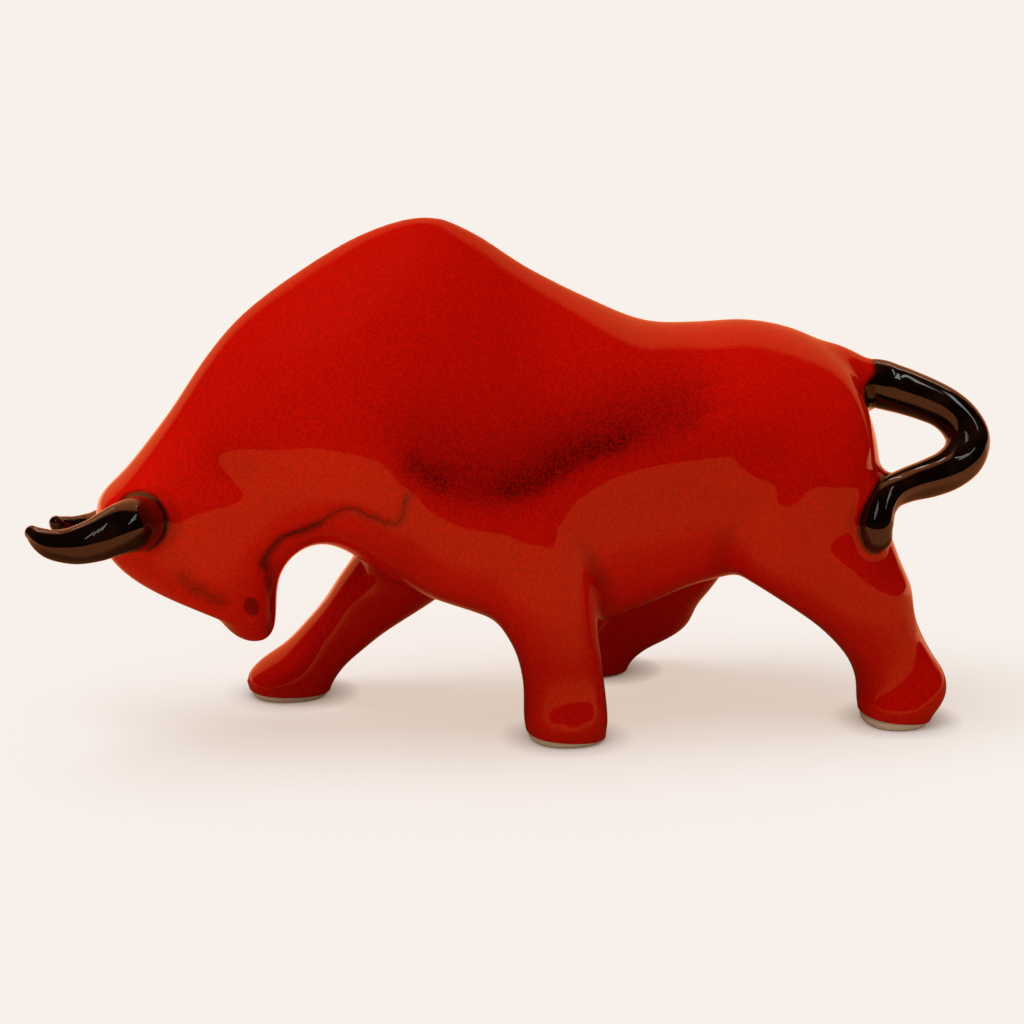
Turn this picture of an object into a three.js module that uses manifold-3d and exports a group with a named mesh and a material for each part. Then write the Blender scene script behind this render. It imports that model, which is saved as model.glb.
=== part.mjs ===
// A glazed ceramic bull with a lowered head, as a potter builds it: hollow slip castings for the torso,
// the head and the four legs, a clay sole under each foot, and a hand-rolled tail and two horns.
// The pieces are joined with liquid clay (luted) before firing, and each joint is drawn as a thin gap.
//
// Millimetres, +Z up. The head points along -X and the bull's left side is -Y.
// Heights in the tables are measured from the underside of the castings, which stand on the soles.

import * as THREE from "three";
import { mergeVertices } from "three/addons/utils/BufferGeometryUtils.js";
import Module from "manifold-3d";

// Driving dimensions
const wallThickness = 5;
const crestThickness = 9; // the wall along the sharp ridge of the back and neck
const lutingGap = 0.3;
const lutingHeight = 29; // the four legs are luted on at this height
const neckStation = 14.4; // the head is luted on at this station of the body table
const soleThickness = 2.4;
const soleFlatInset = 1.2; // how far the flat underside of a sole lies inside the foot's outline
const soleTopInset = 0.2;
const soleEdgeHeight = 0.9;
const ventRadius = 4;
const ventX = 46;
const legRoundness = 2.3; // exponent of the leg sections: 2 is an ellipse, more is squarer
const bellyRoundness = 2.15;

// The body from rump to muzzle. Each station is a section plane through a point of the upper outline
// (back, neck, forehead, nose) and a point of the lower outline (belly, chest, throat, jaw).
// widest is the height of the broadest point as a share of the section, and crest shapes the part
// above it: 2 is a round back, and less is a sharper ridge.
const rumpPole = [128, 86];
const bodyStations = [
  // topX, topZ, bottomX, bottomZ, halfWidth, widest, crest
  [126.4, 97, 127.2, 76, 16, 0.5, 2],
  [124, 108, 124.5, 66, 28, 0.48, 1.95],
  [116, 123.1, 115.5, 57, 39.5, 0.42, 1.85],
  [102, 131.8, 100.5, 50.5, 45, 0.38, 1.8],
  [84, 136, 81, 47.5, 46.5, 0.42, 1.7],
  [66, 135.7, 62, 43, 45, 0.52, 1.65],
  [46.7, 137.1, 42, 35, 44, 0.54, 1.6],
  [25.6, 146.3, 20, 29, 46, 0.5, 1.5],
  [5, 157.4, -1.7, 33, 49.5, 0.28, 1.42],
  [-14.2, 170.2, -19.9, 40, 52, 0.225, 1.35],
  [-30, 175.7, -34, 45.6, 52, 0.235, 1.32],
  [-50.7, 170.5, -48, 53.6, 49.5, 0.315, 1.32],
  [-72.5, 158.4, -59.8, 61.5, 45, 0.345, 1.35],
  [-92.5, 143.8, -67, 64.4, 40, 0.365, 1.45],
  [-105.7, 128.8, -73.6, 62.8, 36, 0.41, 1.6],
  [-118.7, 109.7, -78.7, 58.8, 32.5, 0.44, 1.85],
  [-133, 91.4, -82.1, 52.7, 30, 0.46, 2.3],
  [-143.4, 80, -83.2, 45.8, 28.5, 0.46, 2.5],
  [-142.8, 66.2, -83.4, 40.3, 26.5, 0.46, 2.3],
  [-134.6, 55.6, -83.6, 37, 23.5, 0.46, 2.1],
  [-120.6, 47.8, -84.1, 34.2, 20, 0.47, 2],
  [-107.2, 41.2, -84.7, 32.3, 17, 0.48, 2],
  [-98.5, 32.9, -86, 30.6, 12.5, 0.5, 2],
];
const muzzlePole = [-91.2, 28.9];
const firstCavityStation = 1.3;
const lastCavityStation = 19.5;

// Each leg is lofted through level sections, from its foot up to where it sinks into the torso.
// inner and outer are distances from the bull's middle plane.
const legTables = {
  foreleg_left: {
    side: -1,
    rows: [
      // height, frontX, rearX, inner, outer
      [0, 0.2, 27, 17, 43.4],
      [2.4, -1, 27.8, 16, 44.8],
      [14.3, -0.8, 27, 16, 43.8],
      [22.3, -2, 26, 15.5, 44.5],
      [29.3, -4.2, 25, 15, 45.5],
      [35.3, -7.5, 24.2, 14, 46.5],
      [42.3, -11.9, 23.6, 12, 48],
      [53.3, -21.5, 22.8, 10, 50],
      [67.3, -31, 21, 10, 51],
      [85.3, -36, 17, 12, 48.5],
      [101.3, -32, 13, 14, 40],
    ],
  },
  foreleg_right: {
    side: 1,
    rows: [
      [0, -89.5, -61.4, 22.5, 49.8],
      [2.4, -91.6, -59.6, 21.5, 51],
      [8.3, -86.6, -55.2, 22, 51],
      [14.3, -77.5, -48.2, 22, 50.5],
      [21.3, -70.8, -39.6, 20.5, 50],
      [30.3, -63.4, -26, 17, 50],
      [39.3, -58, -13.6, 13, 50],
      [49.3, -51.3, 0, 11, 50.5],
      [63.3, -45, 13, 10, 51],
      [81.3, -40, 16, 11, 48],
      [99.3, -34, 12, 13, 40],
    ],
  },
  hindleg_left: {
    side: -1,
    rows: [
      [0, 119.2, 140.4, 18.5, 45],
      [3.6, 118, 146.6, 16.5, 46.2],
      [9.3, 118.6, 149.8, 15, 45],
      [14.9, 117.4, 148.6, 14, 44.5],
      [21.3, 114, 144.2, 14, 44.5],
      [30.3, 105.8, 139.4, 13, 46],
      [37.3, 97.2, 136.9, 11.5, 47.5],
      [46.3, 84.2, 135.9, 10, 48.5],
      [55.3, 72, 131.8, 10, 49],
      [69.3, 66, 126.5, 11, 48.5],
      [87.3, 64, 120.8, 12, 46.5],
      [105.3, 70, 110, 14, 40],
    ],
  },
  hindleg_right: {
    side: 1,
    rows: [
      [0, 27.6, 50.4, 33, 57.5],
      [2.4, 26.4, 53, 32, 58.5],
      [7.3, 27, 59.8, 31, 58.5],
      [11.3, 30, 68, 29, 58],
      [16.3, 33.5, 73.6, 26.5, 57],
      [24.3, 39, 75.8, 22.5, 55],
      [31.3, 44, 80.2, 18.5, 53],
      [41.3, 50, 86.5, 14, 51.5],
      [53.3, 56, 101, 12, 50],
      [69.3, 60, 117, 12, 48.5],
      [87.3, 62, 119, 13, 46],
      [105.3, 68, 110, 15, 40],
    ],
  },
};

// The horns leave the sides of the poll at a station of the body table. turn is where on its section:
// 0 is the broadest point and 1 the crest. The right horn is set lower, as the maker's hand left it.
const hornRootDepth = 12;
const hornTables = {
  // steps from the root on the skin (forward, outward, up) and the horn's radius there
  horn_left: {
    side: -1,
    station: 17.55,
    turn: 0.48,
    rows: [
      [1.8, 6.5, 0.6, 9.1],
      [4.4, 12.5, 1.4, 8.9],
      [8, 16.7, 1.4, 8.4],
      [11.8, 19.5, 0.6, 7.8],
      [16, 21.5, -0.6, 7.2],
      [21.9, 22, -1.9, 6.4],
      [26.8, 20.5, -2.4, 5.5],
      [30.8, 18.5, -2, 4.8],
      [34, 15.7, -0.8, 3.8],
      [36.4, 13.5, 0.7, 2.5],
    ],
  },
  horn_right: {
    side: 1,
    station: 18.55,
    turn: 0.45,
    rows: [
      [2.7, 5.6, -1.7, 8],
      [6.7, 10.6, -3.9, 7.5],
      [10.9, 13.6, -5.6, 6.9],
      [15.1, 14.6, -5.9, 6.2],
      [18.9, 14.1, -5.1, 5.2],
      [21.9, 12.7, -3.5, 4.1],
      [23.8, 11.1, -2, 3.1],
      [24.5, 9.7, -1, 2.5],
    ],
  },
};

// The torso ends in a cast stub on the middle plane, which the tail is luted to. The tail loops
// out behind and its tip is pressed on the left haunch.
const stubRows = [
  // x, z, radius
  [96, 108.5, 19],
  [104, 112.2, 17],
  [112, 114.2, 13.8],
  [119, 114.3, 10.8],
  [124, 113.7, 9.2],
];
const tailRows = [
  // steps from the end of the stub (back, left, up) and the tail's radius there
  [3.7, 0, -1, 8.9],
  [8, 0, -2.2, 8.8],
  [12.3, 0, -3.6, 8.5],
  [17.2, 0.3, -5.2, 8.2],
  [24.5, 0.8, -8, 7.8],
  [31.5, 1.6, -11.4, 7.5],
  [36.7, 3, -16, 7.6],
  [39.3, 5.5, -21.8, 7.9],
  [36.9, 9, -27.5, 7.8],
  [30.1, 14, -30.9, 7.4],
  [20.9, 20.5, -32.1, 6.9],
  [10.1, 28.5, -32.3, 6.1],
  [1.7, 35.5, -33.4, 5.8],
  [-3.5, 41, -36.7, 5.9],
  [-5.5, 44.2, -41.7, 6],
  [-5.3, 45.2, -45.8, 5.3],
];

// Facets
const ringsPerStation = 2;
const bodyPoints = 36;
const legRingsPerRow = 2;
const legPoints = 24;
const hornRings = 16;
const hornPoints = 14;
const tailRings = 38;
const stubRings = 6;
const tailPoints = 16;
const cavityPoints = 18;
const solePoints = 32;
const ventPoints = 24;

const redGlaze = new THREE.MeshStandardMaterial({ color: 0xb4120a, roughness: 0.12, metalness: 0 });
const blackGlaze = new THREE.MeshStandardMaterial({ color: 0x1d110c, roughness: 0.1, metalness: 0 });
const bareClay = new THREE.MeshStandardMaterial({ color: 0xd2a679, roughness: 0.85, metalness: 0 });

const wasm = await Module();
wasm.setup();

// Solids and geometries

function weld(geometry) {
  const bare = geometry.clone();
  bare.deleteAttribute("normal");
  bare.deleteAttribute("uv");
  return mergeVertices(bare, 1e-4);
}

function solidOf(geometry) {
  const welded = weld(geometry);
  return new wasm.Manifold(
    new wasm.Mesh({
      numProp: 3,
      vertProperties: welded.attributes.position.array,
      triVerts: new Uint32Array(welded.index.array),
    }),
  );
}

function geometryOf(solid) {
  const mesh = solid.getMesh();
  const geometry = new THREE.BufferGeometry();
  geometry.setAttribute("position", new THREE.BufferAttribute(mesh.vertProperties.slice(), 3));
  geometry.setIndex(new THREE.BufferAttribute(mesh.triVerts.slice(), 1));
  geometry.computeVertexNormals();
  return geometry;
}

// A closed skin over rings of equal length, drawn together to a point at each end
function loft(start, rings, end) {
  const count = rings[0].length;
  const positions = [start, ...rings.flat(), end].flatMap((p) => [p.x, p.y, p.z]);
  const last = 1 + rings.length * count;
  const index = [];
  for (let j = 0; j < count; j++) {
    const next = (j + 1) % count;
    index.push(0, 1 + next, 1 + j);
    for (let i = 0; i + 1 < rings.length; i++) {
      const here = 1 + i * count;
      const there = here + count;
      index.push(here + j, here + next, there + j);
      index.push(here + next, there + next, there + j);
    }
    index.push(last, last - count + j, last - count + next);
  }
  const geometry = new THREE.BufferGeometry();
  geometry.setAttribute("position", new THREE.Float32BufferAttribute(positions, 3));
  geometry.setIndex(index);
  return geometry;
}

// The same skin moved outwards along its normals
function swell(geometry, distance) {
  const swollen = weld(geometry);
  swollen.computeVertexNormals();
  const { position, normal } = swollen.attributes;
  for (let i = 0; i < position.count; i++) {
    const p = new THREE.Vector3().fromBufferAttribute(position, i);
    p.addScaledVector(new THREE.Vector3().fromBufferAttribute(normal, i), distance);
    position.setXYZ(i, p.x, p.y, p.z);
  }
  return swollen;
}

function middleOf(ring) {
  return ring.reduce((sum, p) => sum.add(p), new THREE.Vector3()).divideScalar(ring.length);
}

// A curve whose knots are evenly spread, so that a share of it is a share of the table's rows
function evenCurve(points) {
  return new THREE.CatmullRomCurve3(points, false, "catmullrom", 0.5);
}

const signedPower = (value, power) => Math.sign(value) * Math.abs(value) ** power;

// Body

const inMiddlePlane = ([x, z]) => new THREE.Vector3(x, 0, z);
const topCurve = evenCurve([rumpPole, ...bodyStations, muzzlePole].map(inMiddlePlane));
const lowerPoints = bodyStations.map((station) => [station[2], station[3]]);
const bottomCurve = evenCurve([rumpPole, ...lowerPoints, muzzlePole].map(inMiddlePlane));
const forms = bodyStations.map((station) => new THREE.Vector3(...station.slice(4)));
const formCurve = evenCurve([forms[0].clone().setX(0), ...forms, forms.at(-1).clone().setX(0)]);
const lastStation = bodyStations.length + 1;

// A point of the body's skin. turn runs round the section from the left flank over the crest.
function bodyPoint(station, turn, wall = 0, crestWall = 0) {
  const share = station / lastStation;
  const top = topCurve.getPoint(share);
  const bottom = bottomCurve.getPoint(share);
  const form = formCurve.getPoint(share);
  const chord = top.clone().sub(bottom);
  const up = chord.clone().normalize();
  top.addScaledVector(up, -crestWall);
  bottom.addScaledVector(up, wall);
  const above = Math.sin(turn) >= 0;
  const roundness = above ? form.z : bellyRoundness;
  const across = (form.x - wall) * signedPower(Math.cos(turn), 2 / roundness);
  const widest = form.y;
  const height = widest + (above ? 1 - widest : widest) * Math.sin(turn);
  const point = bottom.lerp(top, height);
  point.y = -across;
  return point;
}

function bodyRing(station, count, wall, crestWall) {
  const turns = Array.from({ length: count }, (_, j) => (2 * Math.PI * j) / count);
  return turns.map((turn) => bodyPoint(station, turn, wall, crestWall));
}

function bodyRings(from, to, perStation, count, wall, crestWall) {
  const steps = Math.ceil((to - from) * perStation);
  return Array.from({ length: steps + 1 }, (_, i) =>
    bodyRing(from + ((to - from) * i) / steps, count, wall, crestWall),
  );
}

function bodySkin() {
  const margin = 1 / ringsPerStation;
  const rings = bodyRings(margin, lastStation - margin, ringsPerStation, bodyPoints);
  return loft(topCurve.getPoint(0), rings, topCurve.getPoint(1));
}

function bodyCavity() {
  const rings = bodyRings(firstCavityStation, lastCavityStation, 1, cavityPoints, wallThickness, crestThickness);
  return solidOf(loft(middleOf(rings[0]), rings, middleOf(rings.at(-1))));
}

// Legs

function legRing(row, side, count, wall) {
  const [height, front, rear, inner, outer] = row;
  const halfLength = (rear - front) / 2 - wall;
  const halfWidth = (outer - inner) / 2 - wall;
  return Array.from({ length: count }, (_, j) => {
    const turn = (2 * Math.PI * j) / count;
    return new THREE.Vector3(
      (front + rear) / 2 + halfLength * signedPower(Math.cos(turn), 2 / legRoundness),
      side * ((inner + outer) / 2) + halfWidth * signedPower(Math.sin(turn), 2 / legRoundness),
      height,
    );
  });
}

function legSkin({ rows, side }, perRow, count, wall = 0) {
  const lengths = evenCurve(rows.map(([height, front, rear]) => new THREE.Vector3(height, front, rear)));
  const widths = evenCurve(rows.map(([, , , inner, outer]) => new THREE.Vector3(inner, outer, 0)));
  const steps = (rows.length - 1) * perRow;
  const rings = Array.from({ length: steps + 1 }, (_, i) => {
    const { x: height, y: front, z: rear } = lengths.getPoint(i / steps);
    const { x: inner, y: outer } = widths.getPoint(i / steps);
    return legRing([height, front, rear, inner, outer], side, count, wall);
  });
  return loft(middleOf(rings[0]), rings, middleOf(rings.at(-1)));
}

// Horns, tail and stub: round sections along a smooth spine, with a flat or a domed end
function taperedTube(points, radii, ringCount, count, domed) {
  const spine = new THREE.CatmullRomCurve3(points, false, "centripetal");
  const radius = evenCurve(radii.map((r) => new THREE.Vector3(r, 0, 0)));
  const frames = spine.computeFrenetFrames(ringCount, false);
  const rings = [];
  for (let i = 0; i <= ringCount; i++) {
    const share = spine.getUtoTmapping(i / ringCount);
    const centre = spine.getPoint(share);
    const r = radius.getPoint(share).x;
    rings.push(
      Array.from({ length: count }, (_, j) => {
        const turn = (2 * Math.PI * j) / count;
        return centre
          .clone()
          .addScaledVector(frames.normals[i], r * Math.cos(turn))
          .addScaledVector(frames.binormals[i], r * Math.sin(turn));
      }),
    );
  }
  const tip = points.at(-1).clone();
  if (!domed) return loft(points[0].clone(), rings, tip);
  const tipRadius = radii.at(-1);
  const ahead = frames.tangents[ringCount];
  for (const angle of [Math.PI / 6, Math.PI / 3]) {
    rings.push(
      rings[ringCount].map((p) =>
        p.clone().lerp(tip, 1 - Math.cos(angle)).addScaledVector(ahead, tipRadius * Math.sin(angle)),
      ),
    );
  }
  return loft(points[0].clone(), rings, tip.clone().addScaledVector(ahead, tipRadius));
}

function hornSkin({ side, station, turn, rows }) {
  const root = bodyPoint(station, side < 0 ? (turn * Math.PI) / 2 : Math.PI * (1 - turn / 2));
  const steps = rows.map(([forward, outward, up]) => new THREE.Vector3(-forward, side * outward, up));
  const inside = root.clone().add(new THREE.Vector3(0, -side * hornRootDepth, 0));
  const points = [inside, root, ...steps.map((step) => step.add(root))];
  const radii = [rows[0][3], rows[0][3], ...rows.map((row) => row[3])];
  return taperedTube(points, radii, hornRings, hornPoints, true);
}

function stubSkin() {
  const points = stubRows.map(([x, z]) => new THREE.Vector3(x, 0, z));
  const radii = stubRows.map((row) => row[2]);
  return taperedTube(points, radii, stubRings, tailPoints, false);
}

function tailSkin() {
  const [x, z, radius] = stubRows.at(-1);
  const [beforeX, beforeZ] = stubRows.at(-2);
  const along = new THREE.Vector3(x - beforeX, 0, z - beforeZ).normalize();
  const root = new THREE.Vector3(x, 0, z).addScaledVector(along, lutingGap);
  const steps = tailRows.map(([back, left, up]) => new THREE.Vector3(back, -left, up));
  const points = [root, ...steps.map((step) => step.add(root))];
  return taperedTube(points, [radius, ...tailRows.map((row) => row[3])], tailRings, tailPoints, true);
}

// A clay disc in the outline of the foot, with a rounded lower edge and a flat underside
function soleSkin({ rows, side }) {
  const [, front, rear, inner, outer] = rows[0];
  const ring = (height, inset) => legRing([height, front, rear, inner, outer], side, solePoints, inset);
  const rings = [
    ring(0, soleFlatInset),
    ring(soleEdgeHeight, (soleTopInset + soleFlatInset) / 3),
    ring(soleThickness, soleTopInset),
  ];
  return loft(middleOf(rings[0]), rings, middleOf(rings.at(-1)));
}

// Cutting blocks

const reach = 4 * (rumpPole[0] - muzzlePole[0]); // longer than anything that a block cuts

function level(minZ, maxZ) {
  return solidOf(new THREE.BoxGeometry(reach, reach, maxZ - minZ).translate(0, 0, (minZ + maxZ) / 2));
}

// Everything on one side of the neck's luting plane, half a gap away from it
function besideNeck(side) {
  const bottom = bodyPoint(neckStation, -Math.PI / 2);
  const up = bodyPoint(neckStation, Math.PI / 2).sub(bottom).normalize();
  const across = new THREE.Vector3(0, 1, 0);
  const forward = new THREE.Vector3().crossVectors(up, across);
  const place = new THREE.Matrix4().makeBasis(forward, up, across).setPosition(bottom);
  const shift = side * (reach / 2 + lutingGap / 2);
  return solidOf(new THREE.BoxGeometry(reach, reach, reach).translate(shift, 0, 0).applyMatrix4(place));
}

function ventHole() {
  const length = 2 * bodyStations[0][1];
  return solidOf(
    new THREE.CylinderGeometry(ventRadius, ventRadius, length, ventPoints)
      .rotateX(Math.PI / 2)
      .translate(ventX, 0, 0),
  );
}

// Assembly

const legs = Object.entries(legTables);
const legSkins = legs.map(([, leg]) => legSkin(leg, legRingsPerRow, legPoints));
const legCavities = legs.map(([, leg]) =>
  solidOf(legSkin(leg, 1, cavityPoints, wallThickness)).intersect(level(wallThickness, reach)),
);
const cavity = legCavities.reduce((all, one) => all.add(one), bodyCavity());
const body = solidOf(bodySkin());
const aboveLuting = level(lutingHeight + lutingGap / 2, reach);
const belowLuting = level(-reach, lutingHeight - lutingGap / 2);

const torso = [stubSkin(), ...legSkins]
  .reduce((all, skin) => all.add(solidOf(skin).intersect(aboveLuting)), body.intersect(besideNeck(-1)))
  .subtract(cavity)
  .subtract(ventHole());
const head = body.intersect(besideNeck(1)).subtract(cavity);
const bodyClearance = [bodySkin(), stubSkin(), ...legSkins]
  .map((skin) => solidOf(swell(skin, lutingGap)))
  .reduce((all, one) => all.add(one));

const castings = new THREE.Group();
castings.position.z = soleThickness + lutingGap;

function addPiece(group, name, solid, material) {
  const mesh = new THREE.Mesh(geometryOf(solid), material);
  mesh.name = name;
  group.add(mesh);
}

addPiece(castings, "torso", torso, redGlaze);
addPiece(castings, "head", head, redGlaze);
legs.forEach(([name], i) => {
  addPiece(castings, name, solidOf(legSkins[i]).intersect(belowLuting).subtract(legCavities[i]), redGlaze);
});
for (const [name, horn] of Object.entries(hornTables)) {
  addPiece(castings, name, solidOf(hornSkin(horn)).subtract(bodyClearance), blackGlaze);
}
addPiece(castings, "tail", solidOf(tailSkin()).subtract(bodyClearance), blackGlaze);

const bull = new THREE.Group();
bull.add(castings);
for (const [name, leg] of legs) addPiece(bull, `${name}_sole`, solidOf(soleSkin(leg)), bareClay);

// The origin is the middle of the base.
const box = new THREE.Box3().setFromObject(bull);
bull.position.set(-(box.min.x + box.max.x) / 2, -(box.min.y + box.max.y) / 2, 0);

export default bull;
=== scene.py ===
# %% [markdown]
# A glazed ceramic bull
#
# The object is a potter's bull, about a foot long: hollow castings luted together, a rolled tail and two
# rolled horns, dipped in a glossy red glaze and a black one. This lesson models it in Blender over the
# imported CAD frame. The frame gives every place and size, and what is made here is what glaze does to clay:
# joints that melt into soft fillets, colour that pools in the hollows, and a skin like glass.

import math

import bmesh
import bpy
import numpy as np
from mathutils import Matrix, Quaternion, Vector


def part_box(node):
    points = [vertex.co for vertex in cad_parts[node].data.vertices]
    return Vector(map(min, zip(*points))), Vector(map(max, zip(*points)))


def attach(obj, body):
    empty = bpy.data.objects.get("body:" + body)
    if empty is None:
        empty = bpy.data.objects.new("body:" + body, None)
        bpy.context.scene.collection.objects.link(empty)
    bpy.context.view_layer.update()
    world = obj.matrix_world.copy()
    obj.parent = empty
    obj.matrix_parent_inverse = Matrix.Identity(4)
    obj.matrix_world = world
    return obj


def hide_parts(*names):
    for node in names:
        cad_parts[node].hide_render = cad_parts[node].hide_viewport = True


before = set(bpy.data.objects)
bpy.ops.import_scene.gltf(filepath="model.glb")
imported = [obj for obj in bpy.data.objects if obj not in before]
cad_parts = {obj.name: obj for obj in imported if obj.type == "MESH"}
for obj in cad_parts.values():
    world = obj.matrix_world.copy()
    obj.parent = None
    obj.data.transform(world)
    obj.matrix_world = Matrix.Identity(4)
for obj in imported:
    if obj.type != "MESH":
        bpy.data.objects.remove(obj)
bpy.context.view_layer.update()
MM = 0.001

# %% [markdown]
# Where the bull stands in the frame
#
# The tables below are in millimetres, with x = 0 at the withers, y = 0 on the bull's middle plane and z = 0
# under the castings, as in the CAD source. The head's box gives the middle plane, and the left fore foot,
# whose length is the first row of its table, gives the place along X. So a table point becomes a frame
# point with one addition, and nothing is fitted by hand.

# %% Table millimetres to frame metres
FORE_FOOT = (0.2, 27)
foot_low, foot_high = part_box("foreleg_left_sole")
head_low, head_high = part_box("head")
ORIGIN = Vector((
    (foot_low.x + foot_high.x) / 2 - sum(FORE_FOOT) / 2 * MM,
    (head_low.y + head_high.y) / 2,
    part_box("foreleg_left")[0].z,
))


def place(x, y, z):
    return ORIGIN + Vector((x, y, z)) * MM


print("table origin in mm:", [round(v / MM, 2) for v in ORIGIN])

# %% [markdown]
# The camera
#
# The four feet stand on one floor, and where they fall in the photograph fixes the camera: 14 degrees above
# the horizon, 10 degrees round towards the head, and about a metre away. The frame is 1024 pixels wide and
# shows 0.35 mm a pixel at the bull, which gives the lens.

# %% Camera
CAMERA_AZIMUTH = math.radians(-10)
CAMERA_ELEVATION = math.radians(14)
CAMERA_DISTANCE = 1.05
FRAME_PIXELS = 1024
METRES_A_PIXEL = 0.35 * MM
FLOOR_PIXEL_ROW = 715

camera = bpy.data.objects.new("camera", bpy.data.cameras.new("camera"))
bpy.context.scene.collection.objects.link(camera)
bpy.context.scene.camera = camera
camera.data.lens = camera.data.sensor_width * CAMERA_DISTANCE / (FRAME_PIXELS * METRES_A_PIXEL)
back = Vector((
    math.sin(CAMERA_AZIMUTH) * math.cos(CAMERA_ELEVATION),
    -math.cos(CAMERA_AZIMUTH) * math.cos(CAMERA_ELEVATION),
    math.sin(CAMERA_ELEVATION),
))
target_height = (FLOOR_PIXEL_ROW - FRAME_PIXELS / 2) * METRES_A_PIXEL / math.cos(CAMERA_ELEVATION)
target = Vector((ORIGIN.x, ORIGIN.y, target_height))
camera.location = target + back * CAMERA_DISTANCE
camera.rotation_mode = "QUATERNION"
camera.rotation_quaternion = (-back).to_track_quat("-Z", "Y")
print("lens in mm:", round(camera.data.lens, 1))

# %% [markdown]
# Lofting with bmesh
#
# Every casting here is a loft: rings of points laid along the form and bridged into a skin. A ring starts
# as a unit circle from create_circle, and a function bends it to its section. Bridging two rings makes the
# band of faces between them, and merging a last ring to one point closes a rounded end.

# %% Loft tools


def table_at(rows, position):
    """A row between the rows of a table, on a smooth curve through their values."""
    rows = np.asarray(rows, float)
    i = min(int(position), len(rows) - 2)
    t = position - i
    a, b, c, d = (rows[min(max(k, 0), len(rows) - 1)] for k in (i - 1, i, i + 1, i + 2))
    return b + 0.5 * t * (c - a + t * (2 * a - 5 * b + 4 * c - d + t * (3 * (b - c) + d - a)))


def signed_power(value, power):
    return math.copysign(abs(value) ** power, value)


def add_ring(bm, points, bend):
    """A circle whose points are moved by bend(cosine, sine)."""
    ring = bmesh.ops.create_circle(bm, segments=points, radius=1)["verts"]
    for v in ring:
        v.co = bend(v.co.x, v.co.y)
    return ring


def once_each(elements):
    """The elements in their order, each once. A set would give another order in every run."""
    return list(dict.fromkeys(elements))


def edges_of(ring):
    inside = set(ring)
    return once_each(e for v in ring for e in v.link_edges if e.other_vert(v) in inside)


def skin_rings(bm, rings, start=None, end=None):
    """Bridges rings in order. An end is closed at a point, or flat where none is given."""
    loops = [edges_of(ring) for ring in rings]
    for near, far in zip(loops, loops[1:]):
        bmesh.ops.bridge_loops(bm, edges=near + far)
    for ring, loop, tip in ((rings[0], loops[0], start), (rings[-1], loops[-1], end)):
        if tip is None:
            bmesh.ops.contextual_create(bm, geom=loop)
        else:
            cap = bmesh.ops.contextual_create(bm, geom=loop)["faces"]
            bmesh.ops.poke(bm, faces=cap)["verts"][0].co = tip


def finished_mesh(bm, name):
    bmesh.ops.recalc_face_normals(bm, faces=bm.faces)
    mesh = bpy.data.meshes.new(name)
    bm.to_mesh(mesh)
    bm.free()
    return mesh


def add_object(name, mesh):
    piece = bpy.data.objects.new(name, mesh)
    bpy.context.scene.collection.objects.link(piece)
    return piece


# %% [markdown]
# The trunk: from rump to muzzle
#
# One loft makes torso, neck and head together, because the castings flow into each other. Each station is a
# section plane between a point of the upper outline (back, hump, forehead, nose) and one of the lower
# outline (belly, chest, throat, jaw), so the planes turn with the neck as the head goes down. The section is
# an egg: round below its broadest height, and above it pulled to a ridge where crest is small.

# %% Trunk
RUMP_POLE = (128, 86)
MUZZLE_POLE = (-91.2, 28.9)
TRUNK = [
    # top x, top z, bottom x, bottom z, half width, widest, crest
    (126.4, 97, 127.2, 76, 16, 0.5, 2),
    (124, 108, 124.5, 66, 28, 0.48, 1.95),
    (116, 123.1, 115.5, 57, 39.5, 0.42, 1.85),
    (102, 131.8, 100.5, 50.5, 45, 0.38, 1.8),
    (84, 136, 81, 47.5, 46.5, 0.45, 1.7),
    (66, 135.7, 62, 43, 45, 0.56, 1.65),
    (46.7, 137.1, 42, 35, 44, 0.58, 1.6),
    (25.6, 146.3, 20, 29, 46, 0.5, 1.5),
    (5, 157.4, -1.7, 33, 49.5, 0.28, 1.42),
    (-14.2, 170.2, -19.9, 40, 52, 0.225, 1.35),
    (-30, 175.7, -34, 45.6, 52, 0.235, 1.32),
    (-50.7, 170.5, -48, 53.6, 49.5, 0.315, 1.32),
    (-72.5, 158.4, -59.8, 61.5, 45, 0.345, 1.35),
    (-92.5, 143.8, -67, 64.4, 40, 0.365, 1.45),
    (-105.7, 128.8, -73.6, 62.8, 36, 0.41, 1.6),
    (-118.7, 109.7, -78.7, 58.8, 32.5, 0.44, 1.85),
    (-133, 91.4, -82.1, 52.7, 30, 0.46, 2.3),
    (-143.4, 80, -83.2, 45.8, 28.5, 0.46, 2.5),
    (-142.8, 66.2, -83.4, 40.3, 26.5, 0.46, 2.3),
    (-134.6, 55.6, -83.6, 37, 23.5, 0.46, 2.1),
    (-120.3, 48.3, -84.1, 34.2, 20, 0.47, 2),
    (-107, 41.5, -84.7, 32.3, 17, 0.48, 2),
    (-99.2, 32.6, -86, 30.6, 12.5, 0.5, 2),
]
BELLY_ROUNDNESS = 2.15
TRUNK_POINTS = 72
RINGS_A_STATION = 4


def trunk_outline(column, pole_start, pole_end):
    return [pole_start] + [row[column:column + 2] for row in TRUNK] + [pole_end]


TOP_LINE = trunk_outline(0, RUMP_POLE, MUZZLE_POLE)
BOTTOM_LINE = trunk_outline(2, RUMP_POLE, MUZZLE_POLE)
FORM = [(0,) + TRUNK[0][5:]] + [row[4:] for row in TRUNK] + [(0,) + TRUNK[-1][5:]]


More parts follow.
